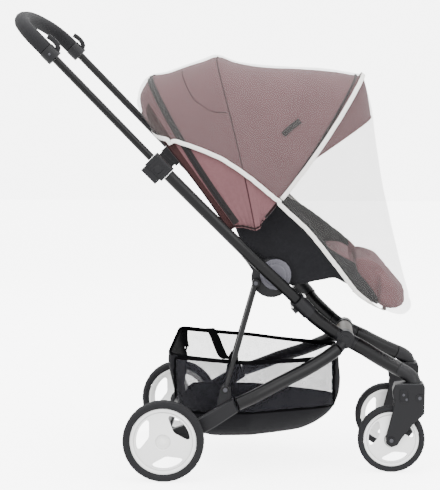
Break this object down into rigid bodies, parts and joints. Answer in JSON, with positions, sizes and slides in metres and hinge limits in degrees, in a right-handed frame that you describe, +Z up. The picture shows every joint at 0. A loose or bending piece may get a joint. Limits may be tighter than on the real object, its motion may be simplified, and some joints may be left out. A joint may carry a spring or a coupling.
{
  "type": "stroller mosquito net on a stroller",
  "caption": "Sheer mosquito net with a white elastic edge, stretched over the hood, seat and leg rest of a lightweight stroller with a foam handle, mesh basket and white wheels.",
  "frame": {"origin": "middle of the bounding box on the floor, under the stroller", "axes": "+Z up; +X forward, the way the child faces; +Y to the child's left"},
  "size_m": [0.9509, 0.576, 1.056],
  "materials": {
    "net_mesh": "sheer knitted mesh, off-white, matt",
    "white_binding": "white woven elastic tape, matt",
    "hood_fabric": "dusty pink woven polyester, matt",
    "grey_tape": "dark grey woven tape, matt",
    "black_fabric": "black woven polyester, matt",
    "pink_fabric": "dusty pink padded polyester, matt",
    "frame_black": "satin black coated aluminium tube",
    "greige_plastic": "moulded warm grey plastic, matt",
    "black_plastic": "moulded black plastic, fine grain",
    "grey_plastic": "moulded dark grey plastic, satin",
    "foam_grip": "dark grey closed-cell foam, matt",
    "tyre_rubber": "dark grey solid foam tyre, matt",
    "white_rim": "white moulded plastic, satin gloss",
    "basket_mesh": "black mesh and woven panels, matt"
  },
  "bodies": {
    "root": {"net_hood_panel": "net_mesh", "net_front_panel": "net_mesh", "net_edge_binding": "white_binding", "net_arch_tape": "white_binding", "hood_shell": "hood_fabric", "hood_visor": "hood_fabric", "hood_zip_band": "grey_tape", "hood_tag": "grey_tape", "seat_bucket": "black_fabric", "seat_pad": "black_fabric", "basket_strap": "black_fabric", "leg_rest": "pink_fabric", "foot_board": "black_plastic", "basket": "basket_mesh", "handle_grip": "foam_grip", "handle_collar_left": "black_plastic", "handle_collar_right": "black_plastic", "tube_clamp_left": "black_plastic", "tube_clamp_right": "black_plastic", "fold_knuckle_left": "black_plastic", "fold_knuckle_right": "black_plastic", "frame_hub_left": "black_plastic", "frame_hub_right": "black_plastic", "axle_block_left": "black_plastic", "axle_block_right": "black_plastic", "pivot_housing_left": "black_plastic", "pivot_housing_right": "black_plastic", "front_fork_left": "black_plastic", "front_fork_right": "black_plastic", "leg_elbow_left": "black_plastic", "leg_elbow_right": "black_plastic", "pivot_cover_left": "grey_plastic", "pivot_cover_right": "grey_plastic", "upper_tube_left": "frame_black", "upper_tube_right": "frame_black", "main_tube_left": "frame_black", "main_tube_right": "frame_black", "lower_tube_left": "frame_black", "lower_tube_right": "frame_black", "front_leg_left": "frame_black", "front_leg_right": "frame_black", "lower_member_left": "frame_black", "lower_member_right": "frame_black", "rear_strut_left": "frame_black", "rear_strut_right": "frame_black", "rear_axle": "frame_black", "hub_cross_tube": "greige_plastic", "rear_tyre_left": "tyre_rubber", "rear_tyre_right": "tyre_rubber", "front_tyre_left": "tyre_rubber", "front_tyre_right": "tyre_rubber", "rear_rim_left": "white_rim", "rear_rim_right": "white_rim", "front_rim_left": "white_rim", "front_rim_right": "white_rim"}
  },
  "joints": []
}
